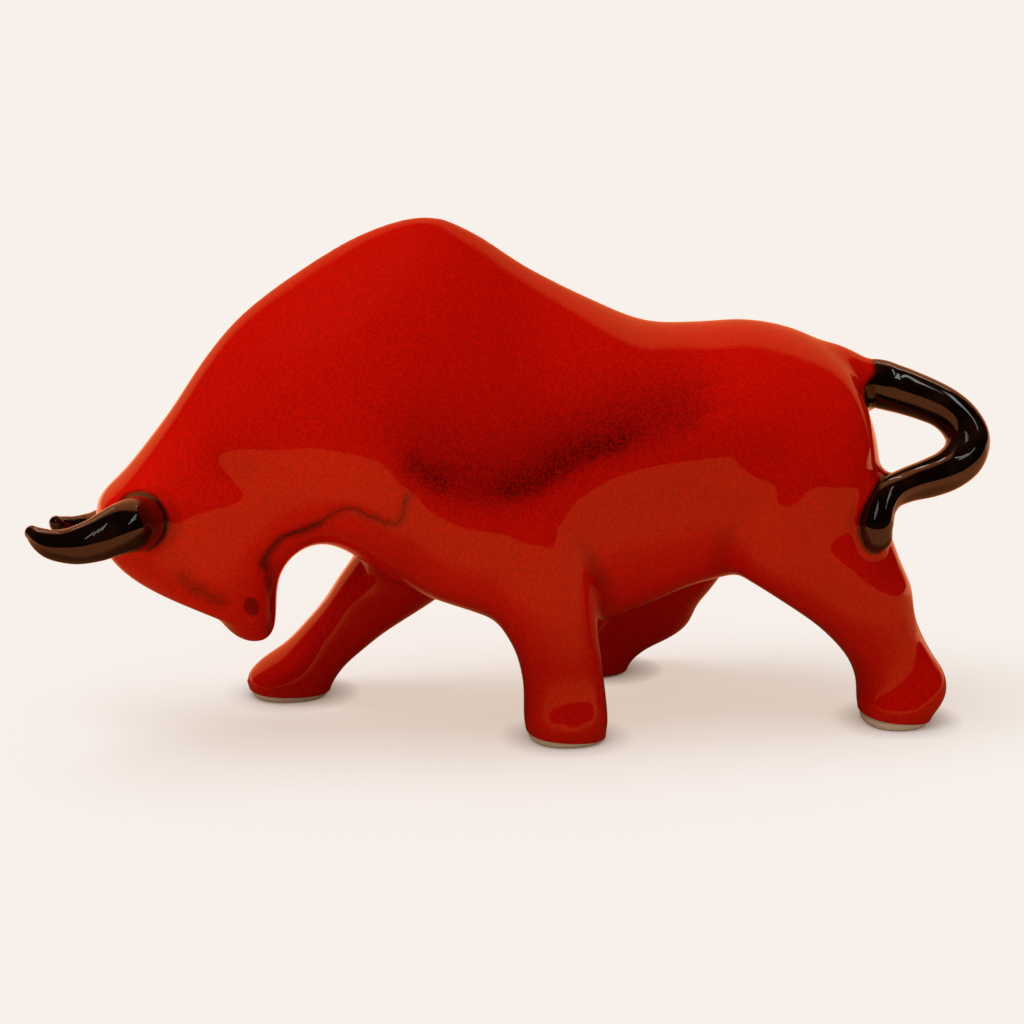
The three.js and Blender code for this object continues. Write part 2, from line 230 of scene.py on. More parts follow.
def trunk_point(station, cosine, sine):
    """A point of the trunk's skin: cosine 1 is the left flank and sine 1 the crest."""
    top = table_at(TOP_LINE, station)
    bottom = table_at(BOTTOM_LINE, station)
    half_width, widest, crest = table_at(FORM, station)
    roundness = crest if sine >= 0 else BELLY_ROUNDNESS
    height = widest + ((1 - widest) if sine >= 0 else widest) * sine
    x, z = bottom + (top - bottom) * height
    return place(x, -half_width * signed_power(cosine, 2 / roundness), z)


def add_trunk(bm):
    last = len(TRUNK) + 1
    margin = 1 / RINGS_A_STATION
    stations = np.linspace(margin, last - margin, RINGS_A_STATION * last - 1)
    rings = [
        add_ring(bm, TRUNK_POINTS, lambda c, s, at=station: trunk_point(at, c, s)) for station in stations
    ]
    skin_rings(bm, rings, place(RUMP_POLE[0], 0, RUMP_POLE[1]), place(MUZZLE_POLE[0], 0, MUZZLE_POLE[1]))


print("trunk:", len(TRUNK), "stations of", TRUNK_POINTS, "points")

# %% [markdown]
# The legs
#
# A leg is a stack of level sections from the foot up to where it sinks into the shoulder or the haunch. The
# slant of the stride is in the table: each row gives the front and rear of the leg at one height.

# %% Legs
LEG_ROUNDNESS = 2.3
LEG_POINTS = 48
LEG_RINGS_A_ROW = 3
LEG_OVERLENGTH = 20
LEGS = {
    "foreleg_left": (-1, [
        # height, front x, rear x, inner y, outer y
        (0, *FORE_FOOT, 17, 45.2),
        (2.4, -1, 27.8, 16, 46.6),
        (14.3, -0.8, 27, 16, 44.2),
        (22.3, -2, 26, 15.5, 43.8),
        (29.3, -4.2, 25, 15, 45.5),
        (35.3, -7.5, 24.2, 14, 46.5),
        (42.3, -11.9, 23.6, 12, 48),
        (53.3, -21.5, 22.8, 10, 50),
        (67.3, -31, 21, 10, 51),
        (85.3, -36, 17, 12, 48.5),
        (101.3, -32, 13, 14, 40),
    ]),
    "foreleg_right": (1, [
        (0, -89.5, -61.4, 22.5, 49.8),
        (2.4, -91.6, -59.6, 21.5, 51),
        (8.3, -86.6, -55.2, 22, 51),
        (14.3, -77.5, -48.2, 22, 50.5),
        (21.3, -70.8, -39.6, 20.5, 50),
        (30.3, -63.4, -26, 17, 50),
        (39.3, -58, -13.6, 13, 50),
        (49.3, -51.3, 0, 11, 50.5),
        (63.3, -45, 13, 10, 51),
        (81.3, -40, 16, 11, 48),
        (99.3, -34, 12, 13, 40),
    ]),
    "hindleg_left": (-1, [
        (0, 119.2, 142.4, 18.5, 46.8),
        (3.6, 118, 147, 16.5, 48),
        (9.3, 118.6, 149.8, 15, 46.4),
        (14.9, 117.4, 148.6, 14, 45),
        (21.3, 114, 144.2, 14, 44.2),
        (30.3, 105.8, 139.4, 13, 45.4),
        (37.3, 97.2, 136.9, 11.5, 47.5),
        (46.3, 84.2, 135.9, 10, 48.5),
        (55.3, 72, 131.8, 10, 49),
        (69.3, 66, 126.5, 11, 48.5),
        (87.3, 64, 120.8, 12, 46.5),
        (105.3, 70, 110, 14, 40),
    ]),
    "hindleg_right": (1, [
        (0, 27.6, 50.4, 33, 57.5),
        (2.4, 26.4, 53, 32, 58.5),
        (7.3, 27, 59.8, 31, 58.5),
        (11.3, 30, 68, 29, 58),
        (16.3, 33.5, 73.6, 26.5, 57),
        (24.3, 39, 75.8, 22.5, 55),
        (31.3, 44, 80.2, 18.5, 53),
        (41.3, 50, 86.5, 14, 51.5),
        (53.3, 56, 101, 12, 50),
        (69.3, 60, 117, 12, 48.5),
        (87.3, 62, 119, 13, 46),
        (105.3, 68, 110, 15, 40),
    ]),
}


def leg_point(side, row, cosine, sine, inset=0):
    height, front, rear, inner, outer = row
    x = (front + rear) / 2 + ((rear - front) / 2 - inset) * signed_power(cosine, 2 / LEG_ROUNDNESS)
    y = side * (inner + outer) / 2 + ((outer - inner) / 2 - inset) * signed_power(sine, 2 / LEG_ROUNDNESS)
    return place(x, y, height)


def add_leg(bm, side, rows):
    rows = [(-LEG_OVERLENGTH,) + rows[0][1:]] + rows
    positions = np.linspace(0, len(rows) - 1, LEG_RINGS_A_ROW * (len(rows) - 1) + 1)
    sections = [table_at(rows, position) for position in positions]
    rings = [
        add_ring(bm, LEG_POINTS, lambda c, s, row=section: leg_point(side, row, c, s)) for section in sections
    ]
    skin_rings(bm, rings)


print("legs:", ", ".join(f"{name} {len(rows)} rows" for name, (_, rows) in LEGS.items()))

# %% [markdown]
# Round rolls: horns, tail and the stub of the tail
#
# A rolled coil is a circle carried along a bent spine. The spine's points carry the coil's radius as a fourth
# value, and each ring is turned to face along the spine, as a potter's fingers would feel it.

# %% Coils
STUB = [
    # x, y, z, radius
    (96, 0, 108.5, 19),
    (104, 0, 112.2, 17),
    (112, 0, 114.2, 13.8),
    (119, 0, 114.3, 10.8),
    (125, 0, 113.5, 8.2),
]
DOME_ANGLES = np.radians((20, 40, 60, 78))


def add_coil(bm, spine, points, rings_a_row, domed=True):
    spine = np.asarray(spine, float)
    positions = np.linspace(0, len(spine) - 1, rings_a_row * (len(spine) - 1) + 1)
    path = [table_at(spine, position) for position in positions]
    centres = [Vector(p[:3]) for p in path]
    radii = [p[3] for p in path]
    up = Vector((0, 0, 1))
    side = (centres[1] - centres[0]).cross(up)
    rings = []

    def add(centre, ahead, radius):
        nonlocal side
        side = (side - ahead * side.dot(ahead)).normalized()
        rise = side.cross(ahead)
        turned = [side.copy(), rise]
        rings.append(
            add_ring(bm, points, lambda c, s: place(*(centre + (turned[0] * c + turned[1] * s) * radius)))
        )

    for i, (centre, radius) in enumerate(zip(centres, radii)):
        ahead = (centres[min(i + 1, len(centres) - 1)] - centres[max(i - 1, 0)]).normalized()
        add(centre, ahead, radius)
    if not domed:
        skin_rings(bm, rings)
        return
    for angle in DOME_ANGLES:
        add(centres[-1] + ahead * radii[-1] * math.sin(angle), ahead, radii[-1] * math.cos(angle))
    skin_rings(bm, rings, None, place(*(centres[-1] + ahead * radii[-1])))


# %% [markdown]
# Where the horns and the tail run
#
# The left horn is all in sight, and its tip bends back towards the middle. Of the right horn the
# photograph shows little more than the tip, so it is taken as the same roll set a little lower. The tail
# leaves the stub, turns outside the rump and comes back to the left haunch, which closes the loop.

# %% Horn and tail spines
HORNS = {
    "horn_left": [
        # x, y, z, radius
        (-129.5, -12, 77.5, 8.4),
        (-130, -22, 78.5, 8.8),
        (-131.8, -29, 79.4, 9.1),
        (-134.4, -35, 80.2, 8.9),
        (-138, -39.2, 80.2, 8.4),
        (-141.8, -42, 79.4, 7.8),
        (-146, -44, 78.2, 7.2),
        (-151.9, -44.5, 76.9, 6.4),
        (-156.8, -43, 76.4, 5.5),
        (-160.8, -41, 76.8, 4.8),
        (-164, -38.2, 78, 3.8),
        (-166.4, -36, 79.5, 2.5),
    ],
    "horn_right": [
        (-128.5, 12, 67.5, 8),
        (-132, 21, 66.8, 8.2),
        (-135.4, 27.5, 65, 8),
        (-139.4, 32.5, 62.8, 7.5),
        (-143.6, 35.5, 61.1, 6.9),
        (-147.8, 36.5, 60.8, 6.2),
        (-151.6, 36, 61.6, 5.2),
        (-154.6, 34.6, 63.2, 4.1),
        (-156.5, 33, 64.7, 3.1),
        (-157.2, 31.6, 65.7, 2.5),
    ],
}
TAIL = [
    # x, y, z, radius
    (120, 0, 113.8, 6.5),
    (124.5, 0, 113.5, 8.6),
    (128, 0, 112.7, 8.9),
    (132.3, 0, 111.5, 8.8),
    (136.6, 0, 110.1, 8.5),
    (141.5, -0.3, 108.5, 8.2),
    (148.8, -0.8, 105.7, 7.8),
    (155.8, -1.6, 102.3, 7.5),
    (161, -3, 97.7, 7.6),
    (163.6, -5.5, 91.9, 7.9),
    (161.2, -9, 86.2, 7.8),
    (154.4, -14, 82.8, 7.4),
    (145.2, -20.5, 81.6, 6.9),
    (134.4, -28.5, 81.4, 6.1),
    (126, -35.5, 80.3, 5.8),
    (120.8, -41, 77, 5.9),
    (118.8, -44.2, 72, 6),
    (119, -45.2, 67.9, 5.3),
]
tail_length = sum(math.dist(near[:3], far[:3]) for near, far in zip(TAIL, TAIL[1:]))
print("tail length in mm:", round(tail_length))

# %% [markdown]
# Joining the castings
#
# Slip and sponge melt the joints of the real bull into soft fillets, and glaze softens them again. The same
# is done here with voxels: the overlapping lofts are remeshed into one skin, swollen by the fillet's radius
# so that the creases flood, remeshed, and shrunk back by as much. Convex forms come back where they were, and
# the creases keep a round fillet. A light smoothing takes the voxels' steps away.

# %% Joined skin
VOXEL = 1.3 * MM
BODY_FILLET = 7 * MM
ROOT_FILLET = 3 * MM
ROOT_INSET = 0.9
STUB_RINGS_A_ROW = 3
SKIN_COIL_RINGS_A_ROW = 4
SMOOTHING_LOSS = 0.2 * MM
SMOOTHING_STEPS = 14
FLOOR_DROP = 2.7
FOOT_HEIGHT = 12 * MM
FOOT_REACH = 30 * MM
GLAZE_LINES = {
    # height over the floor at the front and at the rear of the foot
    "foreleg_left": (3, 1),
    "foreleg_right": (2.6, 1.9),
    "hindleg_left": (3.9, 1.6),
    "hindleg_right": (1, 1),
}


def add_modifier(piece, kind, **settings):
    modifier = piece.modifiers.new(kind.lower(), kind)
    for name, value in settings.items():
        setattr(modifier, name, value)


def apply_modifiers(piece):
    dressed = piece.evaluated_get(bpy.context.evaluated_depsgraph_get())
    mesh = bpy.data.meshes.new_from_object(dressed)
    piece.modifiers.clear()
    piece.data = mesh


def close_creases(piece, radius, grow=0):
    """Swells and shrinks the piece, so that its creases keep a fillet of this radius."""
    for swelling in (0, radius, grow - radius):
        if swelling:
            add_modifier(piece, "DISPLACE", mid_level=0, strength=swelling)
        add_modifier(piece, "REMESH", mode="VOXEL", voxel_size=VOXEL, adaptivity=0)
    apply_modifiers(piece)


def make_skin():
    bm = bmesh.new()
    add_trunk(bm)
    for side, rows in LEGS.values():
        add_leg(bm, side, rows)
    add_coil(bm, STUB, LEG_POINTS, STUB_RINGS_A_ROW, domed=False)
    skin = add_object("glazed_body", finished_mesh(bm, "glazed_body"))
    close_creases(skin, BODY_FILLET)
    bm = bmesh.new()
    for spine in [TAIL, *HORNS.values()]:
        inset_spine = [(x, y, z, radius - ROOT_INSET) for x, y, z, radius in spine]
        add_coil(bm, inset_spine, LEG_POINTS, SKIN_COIL_RINGS_A_ROW)
    coils = finished_mesh(bm, "coils")
    bm = bmesh.new()
    bm.from_mesh(skin.data)
    bm.from_mesh(coils)
    skin.data = finished_mesh(bm, "glazed_body")
    close_creases(skin, ROOT_FILLET, SMOOTHING_LOSS)
    add_modifier(skin, "SMOOTH", factor=0.5, iterations=SMOOTHING_STEPS)
    apply_modifiers(skin)
    cut_feet(skin.data)
    return skin


def cut_feet(mesh):
    """Cuts each foot off level, or a little sloping, where its glaze was wiped away."""
    bm = bmesh.new()
    bm.from_mesh(mesh)
    for name, (front, rear) in GLAZE_LINES.items():
        side, rows = LEGS[name]
        front_x, rear_x = rows[0][1:3]
        low = place(front_x, 0, front - FLOOR_DROP)
        slope = (rear - front) / (rear_x - front_x)
        middle = place((front_x + rear_x) / 2, 0, 0).x
        foot = [
            v for v in bm.verts
            if v.co.z < low.z + FOOT_HEIGHT
            and (v.co.y > ORIGIN.y) == (side > 0)
            and abs(v.co.x - middle) < FOOT_REACH
        ]
        near = once_each(f for v in foot for f in v.link_faces)
        edges = once_each(e for f in near for e in f.edges)
        corners = once_each(v for f in near for v in f.verts)
        cut = bmesh.ops.bisect_plane(
            bm,
            geom=corners + edges + near,
            plane_co=low,
            plane_no=(slope, 0, -1),
            clear_outer=True,
        )
        rim = [e for e in cut["geom_cut"] if isinstance(e, bmesh.types.BMEdge)]
        bmesh.ops.holes_fill(bm, edges=rim, sides=0)
    bm.to_mesh(mesh)
    bm.free()


body = make_skin()
print("body skin:", len(body.data.polygons), "faces")

# %% [markdown]
# Working the skin by hand
#
# On the real bull a thumb has pressed the valley behind the shoulder, the nostrils, the cheek and the fold in
# front of the thigh. Such marks are strokes over the finished skin: each is a line in side view with a
# width and a depth, and the skin moves along Y under it, most on the line and softly less around it. A
# negative depth raises a muscle. Modelling them as strokes keeps the big forms of the lofts untouched. The
# same kind of line later says where shade is painted dark into the glaze, partly where glaze ran together,
# and where light is painted into it as a brighter red.

# %% Strokes
BOTH = (-1, 1)
LEFT = (-1,)
VALLEY = [(-38, 102), (-32, 96), (-20, 91), (-6, 90), (7, 94), (19, 102), (29, 107), (44, 112), (54, 114)]
JAW_FOLD = [
    (-90, 62), (-88, 67), (-84, 72), (-77, 75), (-72, 78), (-67, 83), (-62, 85),
    (-57, 83), (-52, 81), (-48, 80), (-46, 82), (-45, 86), (-44, 90),
]
BRIDGE = [(-117, 59), (-113, 55), (-109, 54), (-103, 49)]
MOUTH = [(-91, 66), (-89, 60), (-88, 55), (-86, 46), (-86, 40), (-87, 36)]
ELBOW = [(9, 92), (11, 86), (12, 80), (15, 73), (19, 64), (24, 54)]
NOSTRIL = (-93.5, 46.5)
NOSTRIL_SIZE = (5.8, 7.6)
NOSTRIL_LEAN = 0.25
LINE_STEPS = 4
LINE_REACH = 70
FULLY_FACING = 0.5
STROKES = [
    # sides, width, depth in mm, then the line as x, z pairs
    (BOTH, 26, 1.4, VALLEY),
    (BOTH, 5, 0.5, JAW_FOLD[2:-1]),
    (BOTH, 8, 0.5, BRIDGE),
    (BOTH, 5, 0.8, MOUTH),
    (BOTH, 8, 0.6, ELBOW),
    (BOTH, 8, 0.9, [(-94, 46.5), (-93, 47.5)]),
    (BOTH, 17, 1.7, [(-103, 95), (-97, 93)]),
    (BOTH, 22, 1.4, [(66, 97), (80, 96)]),
    (BOTH, 18, -0.9, [(97, 92), (108, 88)]),
    (LEFT, 26, 1.5, [(109, 72), (116, 68)]),
]
# painted shade: along these lines the red is painted darker, in the valley behind the shoulder, along the jaw
# fold, on the bridge of the nose and by the mouth, partly where glaze pools
POOL_SHADE_LINES = [
    # sides, width above and below the line in mm, how dark, then the line
    (BOTH, 24, 10, 0.32, [(-30, 93), (-14, 89), (-2, 90), (8, 96), (22, 101), (36, 105), (54, 110)]),
    (BOTH, 13, 5, 0.55, [(-9, 89), (0, 91), (8, 96), (18, 100), (30, 103)]),
    (BOTH, 9, 9, 0.5, [(-42, 100), (-37, 97), (-33, 95)]),
    (BOTH, 36, 16, 0.2, [(-36, 100), (-20, 95), (0, 98), (24, 108), (50, 116)]),
    (BOTH, 4, 4, 0.55, JAW_FOLD[:5]),
    (BOTH, 3, 4, 0.45, JAW_FOLD),
    (BOTH, 7, 5, 0.4, [(-117, 58.5), (-114, 55.5)]),
    (BOTH, 5, 5, 0.5, [(-111, 54.5), (-104, 50)]),
    (BOTH, 7, 2, 0.7, MOUTH[1:]),
]
# painted light: along these lines the red is painted brighter, on the face and jaw and on the lower chest and
# belly, for the light that falls there
PAINTED_LIGHT_LINES = [
    # width in mm, how much painted light, then the line
    (62, 1, [(-122, 72), (-108, 64), (-92, 66), (-74, 84)]),
    (44, 0.5, [(-30, 62), (0, 54), (30, 62), (60, 60)]),
]


def skin_arrays(mesh):
    points = np.empty(len(mesh.vertices) * 3)
    normals = np.empty(len(mesh.vertices) * 3)
    mesh.vertices.foreach_get("co", points)
    mesh.vertices.foreach_get("normal", normals)
    return points.reshape(-1, 3), normals.reshape(-1, 3)


def beside_line(points, line):
    """Distance in side view from each point to a line of x, z pairs, in mm, negative to the line's right."""
    flat = points[:, [0, 2]] / MM
    steps = np.linspace(0, len(line) - 1, LINE_STEPS * (len(line) - 1) + 1)
    smooth_line = [table_at(line, step) for step in steps]
    corners = np.array([np.array(place(x, 0, z))[[0, 2]] / MM for x, z in smooth_line])
    near = ((flat > corners.min(0) - LINE_REACH) & (flat < corners.max(0) + LINE_REACH)).all(1)
    beside = np.full(len(points), float(LINE_REACH))
    flat = flat[near]
    nearest = np.full(len(flat), np.inf)
    sign = np.ones(len(flat))
    for a, b in zip(corners, corners[1:]):
        along = b - a
        t = np.clip((flat - a) @ along / (along @ along), 0, 1)
        gap = flat - a - t[:, None] * along
        distance = np.linalg.norm(gap, axis=1)
        closer = distance < nearest
        nearest[closer] = distance[closer]
        sign[closer] = np.sign(along[0] * gap[closer, 1] - along[1] * gap[closer, 0])
    beside[near] = nearest * sign
    return beside


def stroke_weight(points, normals, side, width, line, width_right=None):
    """How strongly a line works on each point of one flank, from 1 on the line to 0 well beside it."""
    beside = beside_line(points, line)
    half = np.where(beside > 0, width, width_right or width) / 2
    facing = np.clip(normals[:, 1] * side / FULLY_FACING, 0, 1) * (side * (points[:, 1] - ORIGIN.y) > 0)
    return np.exp(-((beside / half) ** 2)) * facing


def work_strokes(mesh):
    points, normals = skin_arrays(mesh)
    move = np.zeros(len(points))
    for sides, width, depth, line in STROKES:
        for side in sides:
            move -= side * depth * MM * stroke_weight(points, normals, side, width, line)
    points[:, 1] += move
    mesh.vertices.foreach_set("co", points.ravel())
    mesh.update()


work_strokes(body.data)

# %% [markdown]
# Where the glaze pools, and painted shade and light
#
# A glaze runs while it melts: it leaves the ridges a little thin and lies thick and dark in the hollows, and
# the hollows are darkened further as painted shade. A heavily smoothed copy of the skin stands outside it in
# a hollow and inside it on a ridge, so the distance between the two is stored on each vertex, in
# millimetres, and the glaze material reads it. The places that the photograph shows darker, which get
# painted shade, and lighter, which get painted light, are stored the same way, from their lines, and so
# is the reach of the black glaze round the roots of the horns and the tail.

# %% Hollows
POOLING_STEPS = 120
JAW_FIELD_LIMIT = 9
OVERLAP_REACH = 2.6
OVERLAP_STEPS = 8
BLACK_DIP = [
    # a short spine under the root of the tail, where the black ran further down
    (127, -5, 107.5, 7),
    (132.3, -1, 110.5, 8.8),
]


def store_hollows(piece):
    smooth_copy = add_object("smooth_copy", piece.data.copy())
    add_modifier(smooth_copy, "SMOOTH", factor=1, iterations=POOLING_STEPS)
    apply_modifiers(smooth_copy)
    points, normals = skin_arrays(piece.data)
    smoothed, _ = skin_arrays(smooth_copy.data)
    hollow = ((smoothed - points) * normals).sum(1) / MM
    bpy.data.objects.remove(smooth_copy)
    store(piece.data, "hollow", hollow)
    return hollow


def store(mesh, name, values):
    mesh.attributes.new(name, "FLOAT", "POINT").data.foreach_set("value", values)


# painted shade: stores at each point how much darker the red is painted along the shade lines
def store_pool_shade(mesh):
    points, normals = skin_arrays(mesh)
    clear = np.ones(len(points))
    for sides, above, below, dark, line in POOL_SHADE_LINES:
        for side in sides:
            clear *= 1 - dark * stroke_weight(points, normals, side, above, line, below)
    store(mesh, "pool_shade", 1 - clear)


# painted light: stores at each point how much brighter the red is painted for light
def store_painted_light(mesh):
    points, normals = skin_arrays(mesh)
    painted_light = np.zeros(len(points))
    for width, share, line in PAINTED_LIGHT_LINES:
        for side in BOTH:
            painted_light = np.maximum(painted_light, share * stroke_weight(points, normals, side, width, line))
    store(mesh, "painted_light", painted_light)


def store_creases(mesh):
    """Fields that painted shade is drawn from in sharp lines: signed distance to a crease, and to the
    nostril's rim.
    """
    points, _ = skin_arrays(mesh)
    store(mesh, "jaw_line", np.clip(beside_line(points, JAW_FOLD), -JAW_FIELD_LIMIT, JAW_FIELD_LIMIT))
    x, z = ((points[:, i] - ORIGIN[i]) / MM - NOSTRIL[i // 2] for i in (0, 2))
    rim = np.hypot((x + NOSTRIL_LEAN * z) / NOSTRIL_SIZE[0], z / NOSTRIL_SIZE[1]) * 2
    store(mesh, "nostril_rim", rim)


def store_overlap(mesh, spines):
    """How far the black glaze ran over the red, from 1 under a horn or the tail to 0 beyond its edge."""
    points, _ = skin_arrays(mesh)
    nearest = np.full(len(points), np.inf)
    for spine in spines:
        positions = np.linspace(0, len(spine) - 1, OVERLAP_STEPS * len(spine))
        for x, y, z, radius in (table_at(spine, position) for position in positions):
            centre = np.array(place(x, y, z))
            nearest = np.minimum(nearest, np.linalg.norm(points - centre, axis=1) - radius * MM)
    overlap = np.clip(1 - nearest / (OVERLAP_REACH * MM), 0, 1)
    store(mesh, "black", overlap)


hollow = store_hollows(body)
store_pool_shade(body.data)
store_painted_light(body.data)
store_creases(body.data)
store_overlap(body.data, [BLACK_DIP, TAIL[3:], *HORNS.values()])
print("hollows in mm:", [round(float(v), 2) for v in np.percentile(hollow, (1, 25, 50, 75, 99))])

# %% [markdown]
# The horns
#
# Each horn is a roll of clay, thick at its root, bent forward and pinched to a blunt tip while it was
# soft. The spine starts inside the skull, so the joint needs no extra shape, and a dab of slip round the root
# is the bulge of the first rings.

# %% Making the horns
COIL_POINTS = 40
COIL_RINGS_A_ROW = 5


def make_coil(name, spine):
    bm = bmesh.new()
    add_coil(bm, spine, COIL_POINTS, COIL_RINGS_A_ROW)
    mesh = finished_mesh(bm, name)
    for face in mesh.polygons:
        face.use_smooth = True
    return add_object(name, mesh)


horns = [make_coil(name + "_glazed", spine) for name, spine in HORNS.items()]
print("horns:", [len(horn.data.polygons) for horn in horns], "faces")

# %% [markdown]
# The tail
#
# The tail is a longer roll, luted to the stub at the rump, swung out and back in a loop, and pressed on the
# left haunch with a thumb. It sags a little where it turned while the clay was soft. Its first rows are drawn
# thin, so that it comes out from inside the stub and not round it.

# %% Tail
ROOT_RADII = (3.5, 6.8, 8.1, 8.7)
root = [(*row[:3], radius) for row, radius in zip(TAIL, ROOT_RADII)]
tail = make_coil("tail_glazed", root + TAIL[len(root):])
print("tail:", len(tail.data.polygons), "faces")

# %% [markdown]
# The soles
#
# The feet were wiped clean of glaze so that they would not stick to the kiln shelf. Under each is a flat
# rim of bare clay, a little rounded below and never quite even.

# %% Soles
SOLE_RINGS = [
    # height under the casting, inset
    (-2.7, 2),
    (-2.5, 1.2),
    (-2, 0.6),
    (-1, 0.3),
    (1, 0.3),
]
DOWNWARD = -0.9


def make_sole(name, side, rows):
    bm = bmesh.new()
    rings = []
    for height, inset in SOLE_RINGS:
        row = (height,) + rows[0][1:]
        rings.append(add_ring(bm, LEG_POINTS, lambda c, s: leg_point(side, row, c, s, inset)))
    skin_rings(bm, rings)
    mesh = finished_mesh(bm, name)
    for face in mesh.polygons:
        face.use_smooth = face.normal.z > DOWNWARD
    return add_object(name, mesh)


soles = [make_sole(name + "_clay", side, rows) for name, (side, rows) in LEGS.items()]
print("soles:", len(soles))

# %% [markdown]
# Nodes and colours
#
# Every colour is written as the eye sees it, in sRGB hex, and one function turns it into the linear light
# that the shader works in. One more adds a node with its settings and links.

# %% Material helpers


def linear(hex_colour):
    def channel(v):
        return v / 12.92 if v <= 0.04045 else ((v + 0.055) / 1.055) ** 2.4
    return [channel(int(hex_colour[i:i + 2], 16) / 255) for i in (1, 3, 5)] + [1]


def add_node(tree, kind, inputs=None, **settings):
    node = tree.nodes.new(kind)
    for name, value in settings.items():
        setattr(node, name, value)
    for name, value in (inputs or {}).items():
        socket = node.inputs[name]
        if isinstance(value, bpy.types.NodeSocket):
            tree.links.new(value, socket)
        else:
            socket.default_value = value
    return node


def new_material(name):
    material = bpy.data.materials.new(name)
    material.use_nodes = True
    material.node_tree.nodes.clear()
    return material, material.node_tree


# %% [markdown]
# The red glaze
#
# Two things tell the eye that this is glaze and not paint. It mirrors the room like glass, with an index of
# 1.5 and hardly any roughness. Under the gloss the colour is mottled in flecks about a millimetre wide, where
# crystals grew in the melt. Light and shade are painted into the colour as well: a brighter red on the face
# and the lower chest and belly stands for light, and darker reds in the hollows, the valley, the folds, the
# jaw crease, the mouth and the nostril stand for shade, partly where thick glaze pools. The nodes mix in
# this order: painted light, hollow shade, pool shade, crease shade, nostril shade, flecks, and the black
# glaze over all.

# %% Red glaze
RED = "#CB0D03"
# painted light: the brighter red that stands for more light on the face and the lower chest and belly
PAINTED_LIGHT_RED = "#E61405"
# painted shade, with glaze pooling: the dark red laid into every hollow
HOLLOW_SHADE_RED = "#7A0502"
# painted shade, partly glaze pooling: the darkest red, laid along the shade lines
POOL_SHADE_RED = "#560403"
# painted shade: the brown line drawn along the jaw fold
CREASE_SHADE_BROWN = "#661407"
# painted shade: the dark red inside the pressed nostril
NOSTRIL_SHADE_RED = "#7C0402"
BLACK_OVER_RED = "#120704"
MIRROR_TINT = "#FFEFBC"
GLAZE_IOR = 1.5
GLAZE_ROUGHNESS = 0.045
FLECKS_A_METRE = 1100
FLECK_NOISE = (0.36, 0.64)
FLECK_TONE = (0.88, 1.12)
CLOUDS_A_METRE = 45
HOLLOW_DEPTHS = (0.2, 1.1)
HOLLOW_DARKEST = 0.6
POOL_NOISE = (0.66, 0.34)
POOL_MOTTLE = (0.75, 1.2)
CREASE_WANDER = 1.2
CREASE_WIDTHS = (0.9, 0.1)
NOSTRIL_EDGE = (1.12, 0.82)
NOSTRIL_DARKEST = 0.75
BLACK_WANDER = 0.5
BLACK_EDGE = (0.55, 1.15)


